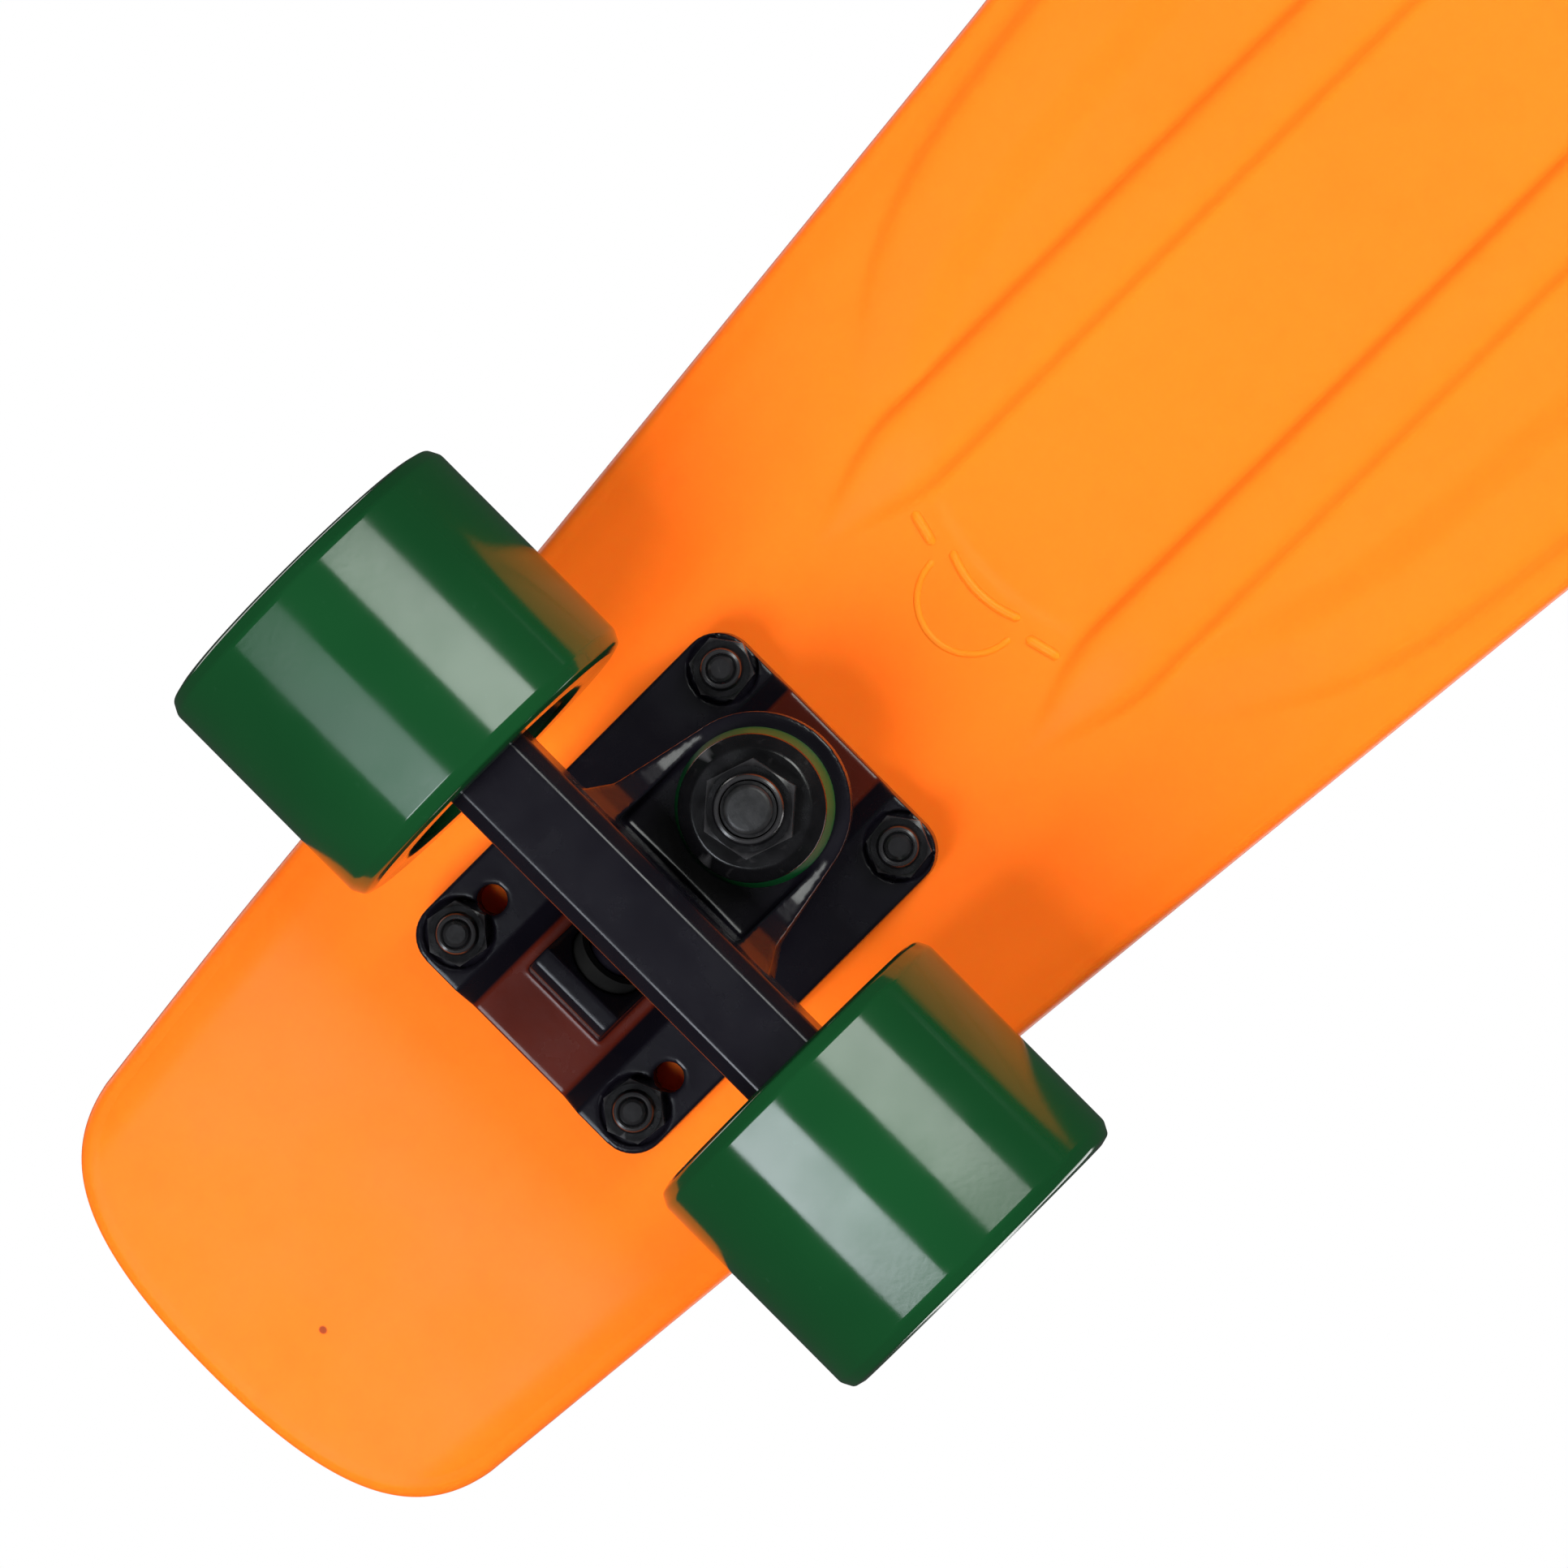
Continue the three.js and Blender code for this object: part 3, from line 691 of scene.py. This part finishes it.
def bolt_places():
    """Name and place on the flat underside of each of the eight mounting bolts."""
    places = []
    for end, axle, turn in (("rear", REAR_AXLE, 1), ("front", FRONT_AXLE, -1)):
        for where, along_x in (("outer", BOLT_X[0]), ("inner", BOLT_X[1])):
            for hand, side in (("left", 1), ("right", -1)):
                name = f"{end}_{where}_{hand}"
                places.append((name, Vector((axle.x + turn * along_x, side * BOLT_Y, DECK_Z))))
    return places


def deck_holes():
    """One cutter with a countersunk hole for each mounting bolt."""
    top = DECK_THICK / MM
    profile = [(0.0, -3.0), (2.7, -3.0), (2.7, top - 2.7), (5.0, top - 0.2), (5.3, top + 1), (0.0, top + 1)]
    segments = 48
    vertices, faces = [], []
    for _, place in bolt_places():
        first = len(vertices)
        for radius, height in profile:
            for n in range(segments):
                turn = 2 * math.pi * n / segments
                offset = Vector((radius * math.cos(turn), radius * math.sin(turn), height)) * MM
                vertices.append(place + offset)
        quads = rings_to_faces(len(profile), segments, True)
        faces += [tuple(first + corner for corner in quad) for quad in quads]
    return new_object("hole_cutter", vertices, faces)


def bead(path, radius, height, sides=10):
    """Vertices and faces of a low round bead along plan points on the flat underside, in millimetres."""
    vertices, faces = [], []
    count = len(path)
    for n, (x, y) in enumerate(path):
        ahead, behind = path[min(n + 1, count - 1)], path[max(n - 1, 0)]
        way = Vector((ahead[0] - behind[0], ahead[1] - behind[1])).normalized()
        size = radius * (0.05 if n in (0, count - 1) else 1)
        for k in range(sides):
            turn = 2 * math.pi * k / sides
            out = size * math.cos(turn)
            z = DECK_Z / MM + radius - height + size * math.sin(turn)
            vertices.append(Vector((x - way.y * out, y + way.x * out, z)) * MM)
    return vertices, rings_to_faces(count, sides, False)


def mould_marks():
    """Plain moulding lines ahead of each truck: a half ring, an arc over it and two short dashes."""
    vertices, faces = [], []
    for axle, turn in ((REAR_AXLE.x / MM, 1), (FRONT_AXLE.x / MM, -1)):
        half_ring = [(72.5 - 9.0 * math.cos(a), 9.0 * math.sin(a)) for a in np.linspace(-1.65, 1.65, 30)]
        arc = [(74.2 + 0.028 * y * y, y) for y in np.linspace(-8.4, 8.4, 20)]
        dash = [(74.4 + 0.25 * abs(y - 10.4), y) for y in np.linspace(10.4, 17.6, 8)]
        for path, radius, height in ((half_ring, 0.8, 0.3), (arc, 0.9, 0.5), (dash, 1.0, 0.6),
                                     ([(x, -y) for x, y in dash], 1.0, 0.6)):
            placed = [(axle + turn * x, turn * y) for x, y in path]
            first = len(vertices)
            points, quads = bead(placed, radius, height)
            vertices += points
            faces += [tuple(first + corner for corner in quad) for quad in quads]
    return new_object("deck_mould_marks", vertices, faces, 60)


GRIP_PITCH = 7.0              # millimetres between the raised squares on top
GRIP_HALF = 2.35
GRIP_RISE = 0.45


def deck_grip():
    """Raised squares of the waffle tread, set cornerwise over the flat of the top."""
    tail_end, side, nose_end = deck_outline()
    line = np.vstack([tail_end, side, nose_end[::-1]])
    order = np.argsort(line[:, 0])
    heads = [(place.x / MM, place.y / MM) for _, place in bolt_places()]
    vertices, faces = [], []
    reach = int(NOSE_X / MM / GRIP_PITCH * 1.5)
    diagonal = GRIP_PITCH / math.sqrt(2)
    for row in range(-reach, reach + 1):
        for column in range(-30, 31):
            if (row + column) % 2:
                continue
            x, y = row * diagonal, column * diagonal
            if not TAIL_X / MM + 9 < x < NOSE_X / MM - 9:
                continue
            if abs(y) > np.interp(x, line[order, 0], line[order, 1]) - 9:
                continue
            if min(math.hypot(x - a, y - b) for a, b in heads) < 8:
                continue
            first = len(vertices)
            for size, rise in ((GRIP_HALF, -0.3), (GRIP_HALF, 0.55 * GRIP_RISE),
                               (GRIP_HALF - 0.5, GRIP_RISE)):
                for dx, dy in ((size, 0), (0, size), (-size, 0), (0, -size)):
                    px, py = x + dx, y + dy
                    z = float(kick(px)) + (DECK_Z + DECK_THICK) / MM + rise
                    vertices.append((px * MM, py * MM, z * MM))
            for ring in (0, 4):
                for n in range(4):
                    after = (n + 1) % 4
                    low, high = first + ring, first + ring + 4
                    faces.append((low + n, low + after, high + after, high + n))
            faces.append((first + 8, first + 9, first + 10, first + 11))
            faces.append((first + 3, first + 2, first + 1, first))
    return new_object("deck_grip", vertices, faces, 20)


# ---------------------------------------------------------------- trucks

# Millimetres. Heights are below the deck's flat underside, radii are about the kingpin.
KINGPIN_RADIUS = 4.6
KINGPIN_END = -45.9
BORE = 4.9                    # of the washers, and of the bushings at their washers
BUSHING_MOUTH = 5.8           # the bushings' bore at the ring
BUSHING_BY_DECK = (-10.8, -22.7)      # its washer end and its ring end
BUSHING_BY_ROAD = (-36.9, -28.8)
PLATE_VOXEL, PLATE_ROUNDS = 0.36, 3   # how far the castings' edges are rounded over
HANGER_VOXEL, HANGER_ROUNDS = 0.4, 4
PIVOT_PLACE = (-12, 0, -10)           # from the axle
PIVOT_LEAN = math.radians(125)
# Along the axle, from its middle.
AXLE_RADIUS, AXLE_HALF = 4.0, 73.4
WHEEL_INSIDE, WHEEL_OUTSIDE = 33.6, 78.6
BEARING_STARTS = (("inner", 41.0), ("outer", 58.0))
BEARING_WIDTH, BEARING_RADIUS = 7.0, 11.0
SPEED_WASHER_STARTS = (("inner", 40.0), ("outer", 65.2))


def truck_frame(end):
    """Matrix from one truck's own frame (X to the middle of the board, Z from the deck) to the world."""
    axle = REAR_AXLE if end == "rear" else FRONT_AXLE
    turn = 0 if end == "rear" else math.pi
    return Matrix.Translation((axle.x, 0, DECK_Z)) @ Matrix.Rotation(turn, 4, "Z")


def in_metres(outline):
    return [(radius * MM, height * MM) for radius, height in outline]


def kingpin_profile():
    """Closed outline of the kingpin: round head by the deck, shank, thread and a flat end."""
    profile = [(0.0, KINGPIN_END), (3.2, KINGPIN_END), (3.6, KINGPIN_END + 0.1),
               (3.95, KINGPIN_END + 0.4), (4.1, KINGPIN_END + 0.9)]
    profile += thread(KINGPIN_RADIUS, -44.7, -38.0, 0.9, 0.45)
    profile += [(KINGPIN_RADIUS, -37.6), (KINGPIN_RADIUS, -5.4), (7.4, -5.2), (7.6, -4.9), (7.6, -0.9),
                (7.2, -0.6), (0.0, -0.6)]
    return in_metres(profile)


def ring_profile(corners, radius):
    return in_metres(rounded(corners, radius))


def add_truck(end):
    base = truck_frame(end)
    pin = base @ Matrix.Translation((KINGPIN_X, 0, 0))
    plate = softened(f"{end}_baseplate", f"{end}_baseplate_casting", PLATE_VOXEL * MM, PLATE_ROUNDS)
    finish_piece(plate, "deck", "truck_casting", PLATE, f"{end}_baseplate")
    hanger = softened(f"{end}_hanger", f"{end}_hanger_casting", HANGER_VOXEL * MM, HANGER_ROUNDS)
    finish_piece(hanger, f"{end}_hanger", "truck_casting", CASTING, f"{end}_hanger")

    post = turned(f"{end}_kingpin_bolt", kingpin_profile(), pin, 64)
    finish_piece(post, "deck", "black_hardware", KINGPIN, f"{end}_kingpin")

    # Both bores widen towards the ring, and both corners are cut back under the cups' lips, so that
    # the bushings stay clear of the kingpin and the cups when the hanger leans.
    washer_end, ring_end = BUSHING_BY_DECK
    lower = ring_profile([(BORE, washer_end, 0.2), (11.3, washer_end, 0.3), (11.65, -11.75, 0.3),
                          (13.25, -16), (13.2, ring_end), (BUSHING_MOUTH, ring_end, 0.6),
                          (BUSHING_MOUTH, -16, 0.5)], 0.8)
    inner = turned(f"{end}_boardside_urethane", lower, pin, 96)
    washer_end, ring_end = BUSHING_BY_ROAD
    upper = ring_profile([(BUSHING_MOUTH, ring_end), (13.1, ring_end, 0.9), (13.1, -30.6), (11.9, -35.5, 0.4),
                          (10.2, washer_end, 0.3), (BORE, washer_end, 0.2), (BUSHING_MOUTH, -32.5, 0.5)], 0.6)
    outer = turned(f"{end}_roadside_urethane", upper, pin, 96)
    blends = ((inner, "boardside", *BUSHING_BY_DECK), (outer, "roadside", *BUSHING_BY_ROAD))
    for piece, where, fixed, moving in blends:
        piece.data.materials.append(BUSHING)
        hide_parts(f"{end}_{where}_bushing")
        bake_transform(piece)

    cup_low = ring_profile([(BORE, -9.3), (11.6, -9.3), (12.4, -9.7, 0.6), (12.4, -11.6, 0.25),
                            (11.9, -11.6, 0.2), (11.7, -10.5, 0.4), (BORE, -10.5)], 0.2)
    seat = turned(f"{end}_boardside_cup_washer", cup_low, pin, 96)
    finish_piece(seat, "deck", "black_hardware", BLACK, f"{end}_boardside_washer")
    cup_high = ring_profile([(BORE, -37.2), (10.2, -37.2, 0.8), (11.75, -35.9, 0.3), (12.2, -35.9, 0.3),
                             (12.1, -36.7, 0.8), (9.9, -38.4, 1.0), (BORE, -38.4)], 0.2)
    cap = turned(f"{end}_roadside_cup_washer", cup_high, pin, 96)
    finish_piece(cap, "deck", "black_hardware", BLACK, f"{end}_roadside_washer")

    down = pin @ Matrix.Rotation(math.pi, 4, "X")
    top = nut(f"{end}_kingpin_locknut", 14.3 * MM, 38.7 * MM, 43.0 * MM, 4.75 * MM, 5.75 * MM, 1.9 * MM,
              down, 0.2)
    finish_piece(top, "deck", "black_hardware", BLACK, f"{end}_kingpin_nut")

    tilt = base @ Matrix.Translation(Vector(PIVOT_PLACE) * MM) @ Matrix.Rotation(PIVOT_LEAN, 4, "Y")
    cup = [(0.0, -6.8), (6.6, -6.8), (6.6, 3.4), (5.3, 3.4), (5.3, -5.2), (0.0, -5.2)]
    cup = turned(f"{end}_pivot_cup_moulding", in_metres(cup), tilt, 64)
    finish_piece(cup, "deck", "pivot_cup", CUP, f"{end}_pivot_cup")

    add_axle(end, base)


def add_axle(end, base):
    """The axle with its threaded ends, and on each side the nut, washers, bearings, spacer and wheel."""
    body = f"{end}_hanger"
    line = base @ Matrix.Translation((0, 0, REAR_AXLE.z - DECK_Z)) @ Matrix.Rotation(-math.pi / 2, 4, "X")
    tip = [(0.0, -AXLE_HALF), (3.0, -AXLE_HALF), (3.7, -AXLE_HALF + 0.5)]
    tip += thread(AXLE_RADIUS, -AXLE_HALF + 0.8, -66, 0.9, 0.4) + [(AXLE_RADIUS, -65.6)]
    profile = in_metres(tip + [(radius, -z) for radius, z in reversed(tip)])
    rod = turned(f"{end}_axle_rod", profile, line, 48)
    finish_piece(rod, body, "axle_steel", AXLE_STEEL, f"{end}_axle")

    for turn in (0, 1):
        hand = HANDS[turn] if end == "rear" else HANDS[1 - turn]
        side = line @ Matrix.Rotation(math.pi * turn, 4, "X")
        wheel_body = f"{end}_{hand}_wheel"
        add_wheel(f"{end}_{hand}", side, wheel_body)
        for where, start in BEARING_STARTS:
            add_bearing(f"{end}_{hand}_{where}", side, start, wheel_body, body)
        tube = ring_profile([(4.3, 48.3), (5.6, 48.3), (5.6, 57.7), (4.3, 57.7)], 0.25)
        spacer = turned(f"{end}_{hand}_spacer_tube", tube, side, 48)
        finish_piece(spacer, body, "bearing_steel", BEARING_STEEL, f"{end}_{hand}_bearing_spacer")
        for where, start in SPEED_WASHER_STARTS:
            flat = ring_profile([(4.2, start), (6.9, start), (6.9, start + 0.8), (4.2, start + 0.8)], 0.15)
            washer = turned(f"{end}_{hand}_{where}_speed_washer", flat, side, 48)
            finish_piece(washer, body, "bearing_steel", BEARING_STEEL)
        lock = nut(f"{end}_{hand}_axle_locknut", 12.7 * MM, 66.3 * MM, 70.6 * MM, 4.1 * MM, 5.3 * MM,
                   1.6 * MM, side)
        finish_piece(lock, body, "black_hardware", BLACK, f"{end}_{hand}_axle_nut")


def add_wheel(name, side, body):
    low, high = WHEEL_INSIDE, WHEEL_OUTSIDE
    radius = WHEEL_RADIUS / MM
    corners = [
        (27.0, low, 0.4), (radius - 1.1, low + 0.5, 1.2), (radius, low + 2.6, 2.0), (radius, high - 2.6, 2.0),
        (radius - 1.1, high - 0.5, 1.2), (27.0, high, 0.4), (19.6, high, 1.6), (15.2, 66.0, 1.0),
        (11.3, 66.0, 0.3), (11.3, 57.7, 0.2), (9.0, 57.7, 0.4), (9.0, 48.3, 0.4), (11.3, 48.3, 0.2),
        (11.3, 40.5, 0.3), (15.5, 40.5, 1.0), (19.6, low, 1.6),
    ]
    wheel = turned(f"{name}_wheel_urethane", ring_profile(corners, 1.0), side, 160, 50)
    finish_piece(wheel, body, "wheel_urethane", WHEEL, f"{name}_wheel")


def add_bearing(name, side, start, wheel_body, axle_body):
    """The outer race with its shield turns with the wheel, the inner race stays on the axle."""
    end = start + BEARING_WIDTH
    outer = [(8.9, start + 0.4, 0.1), (9.2, start, 0.1), (BEARING_RADIUS, start, 0.5),
             (BEARING_RADIUS, end, 0.5), (9.2, end, 0.1), (8.9, end - 0.4, 0.1), (6.5, end - 0.4, 0.1),
             (6.3, end - 0.8, 0.1),
             (6.3, start + 0.8, 0.1), (6.5, start + 0.4, 0.1)]
    race = turned(f"{name}_outer_race", ring_profile(outer, 0.2), side, 64)
    finish_piece(race, wheel_body, "bearing_steel", BEARING_STEEL, f"{name}_bearing")
    inner = ring_profile([(4.1, start), (6.1, start), (6.1, end), (4.1, end)], 0.25)
    hub = turned(f"{name}_inner_race", inner, side, 48)
    finish_piece(hub, axle_body, "bearing_steel", BEARING_STEEL)


def add_mounting(name, place):
    """A countersunk cross-head bolt through the deck and the locknut under the baseplate."""
    here = Matrix.Translation(place)
    top = DECK_THICK / MM - 0.3
    profile = [(0.0, -13.9), (1.6, -13.9), (2.1, -13.5)]
    profile += thread(2.4, -13.2, -8.4, 0.7, 0.3)
    profile += [(2.4, -8.0), (2.4, top - 2.5), (4.6, top - 0.25), (4.6, top), (0.0, top)]
    profile = in_metres(profile)
    bolt = turned(f"{name}_cross_head_bolt", profile, here, 48)
    for turn in (0, math.pi / 2):
        cutter = cross_cutter(here @ Matrix.Rotation(turn + 0.4, 4, "Z"), top)
        cut = bolt.modifiers.new("recess", "BOOLEAN")
        cut.operation = "DIFFERENCE"
        cut.object = cutter
        cut.solver = "EXACT"
        bake_modifiers(bolt)
        bpy.data.objects.remove(cutter)
    finish_piece(bolt, "deck", "black_hardware", BLACK, f"{name}_mount_bolt")
    down = here @ Matrix.Rotation(math.pi, 4, "X")
    spin = random.Random(name).uniform(0, math.pi / 3)
    lock = nut(f"{name}_mount_locknut", 9.5 * MM, 8.3 * MM, 11.9 * MM, 2.5 * MM, 3.4 * MM, 1.4 * MM,
               down, spin)
    finish_piece(lock, "deck", "black_hardware", BLACK, f"{name}_mount_nut")


def cross_cutter(matrix, top):
    """One tapered arm of the cross recess."""
    corners = []
    for z, long, wide in ((top - 1.9, 0.9, 0.3), (top + 0.2, 2.5, 0.5)):
        for sx, sy in ((1, 1), (-1, 1), (-1, -1), (1, -1)):
            corners.append(matrix @ Vector((sx * long * MM, sy * wide * MM, z * MM)))
    faces = rings_to_faces(2, 4, False) + [(3, 2, 1, 0), (4, 5, 6, 7)]
    return new_object("cross_cutter", corners, faces)


# ---------------------------------------------------------------- stage

FLOOR_REACH = 4.0
FLOOR_DROP = 0.0004           # below the wheels
LIGHT_DISTANCE = 1.5
UNDER_LIGHTS = (
    # name, degrees from straight down (tail is negative), low and high Y, width, radiance, colour, mirrored
    ("tail_strip", -37.5, (-0.085, 0.085), 1.03, 10.5, (0.92, 0.97, 1.05), True),
    ("tail_strip_end", -37.5, (-0.19, -0.085), 1.03, 2.4, (0.85, 1.0, 1.05), True),
    ("nose_strip", 37.5, (-0.207, 0.085), 1.03, 7.6, (0.96, 1.0, 0.96), True),
    ("tail_fill", -37.5, (-0.15, 0.55), 1.03, 14.6, (1, 1, 1), False),
    ("nose_fill", 55.0, (-0.35, 0.55), 0.6, 15.5, (1, 1, 1), False),
)


def area_light(name, place, target, size, radiance, colour, mirrored=True):
    data = bpy.data.lights.new(name, "AREA")
    data.shape = "RECTANGLE"
    data.size, data.size_y = size
    data.energy = radiance * math.pi * size[0] * size[1]
    data.color = colour
    light = bpy.data.objects.new(name, data)
    bpy.context.scene.collection.objects.link(light)
    back = (place - target).normalized()
    across = Vector((0, 1, 0)).cross(back).normalized()
    turn = Matrix((across, back.cross(across), back)).transposed()
    light.matrix_world = Matrix.Translation(place) @ turn.to_4x4()
    light.visible_glossy = mirrored
    return light


def add_stage():
    reach, drop = FLOOR_REACH, FLOOR_DROP
    corners = [(-reach, -reach, -drop), (reach, -reach, -drop), (reach, reach, -drop), (-reach, reach, -drop)]
    floor = new_object("floor", corners, [(0, 1, 2, 3)])
    floor.data.materials.append(floor_paint())
    for ray in ("shadow", "diffuse", "glossy", "transmission", "volume_scatter"):
        setattr(floor, f"visible_{ray}", False)

    for name, lean, (low, high), width, radiance, colour, mirrored in UNDER_LIGHTS:
        target = REAR_AXLE + Vector((0.06, (low + high) / 2, 0.03))
        way = Vector((math.sin(math.radians(lean)), 0, -math.cos(math.radians(lean))))
        size = (width, high - low)
        area_light(name, target + way * LIGHT_DISTANCE, target, size, radiance, colour, mirrored)
    centre = Vector((0, 0, 0.07))
    area_light("left_softbox", Vector((0.25, 1.5, 1.5)), centre, (1.9, 1.0), 4.2, (1, 1, 1))
    area_light("right_softbox", Vector((-0.5, -1.6, 1.2)), centre, (1.5, 0.9), 3.2, (1, 0.99, 0.97))
    area_light("top_fill", Vector((0.1, 0.1, 2.0)), centre, (1.4, 1.4), 1.6, (1, 1, 1), False)

    world = bpy.data.worlds.new("studio")
    bpy.context.scene.world = world
    world.use_nodes = True
    nodes, links = world.node_tree.nodes, world.node_tree.links
    seen = nodes["Background"]
    seen.inputs["Color"].default_value = (1, 1, 1, 1)
    seen.inputs["Strength"].default_value = 1.0
    lit = nodes.new("ShaderNodeBackground")
    lit.inputs["Color"].default_value = (0.96, 0.98, 1, 1)
    lit.inputs["Strength"].default_value = 0.05
    path = nodes.new("ShaderNodeLightPath")
    mixer = nodes.new("ShaderNodeMixShader")
    links.new(path.outputs["Is Camera Ray"], mixer.inputs[0])
    links.new(lit.outputs[0], mixer.inputs[1])
    links.new(seen.outputs[0], mixer.inputs[2])
    links.new(mixer.outputs[0], nodes["World Output"].inputs["Surface"])
    bpy.context.scene.view_settings.view_transform = "Standard"
    bpy.context.scene.view_settings.look = "None"


add_camera()
finish_piece(deck_shell(), "deck", "deck_plastic", DECK, "deck")
finish_piece(deck_grip(), "deck", "deck_plastic", DECK)
# The raised marks are coloured lighter than the deck: painted highlight.
finish_piece(mould_marks(), "deck", "deck_plastic", MARK_PAINTED_HIGHLIGHT)
for truck_end in ENDS:
    add_truck(truck_end)
for bolt_name, bolt_place in bolt_places():
    add_mounting(bolt_name, bolt_place)
add_stage()
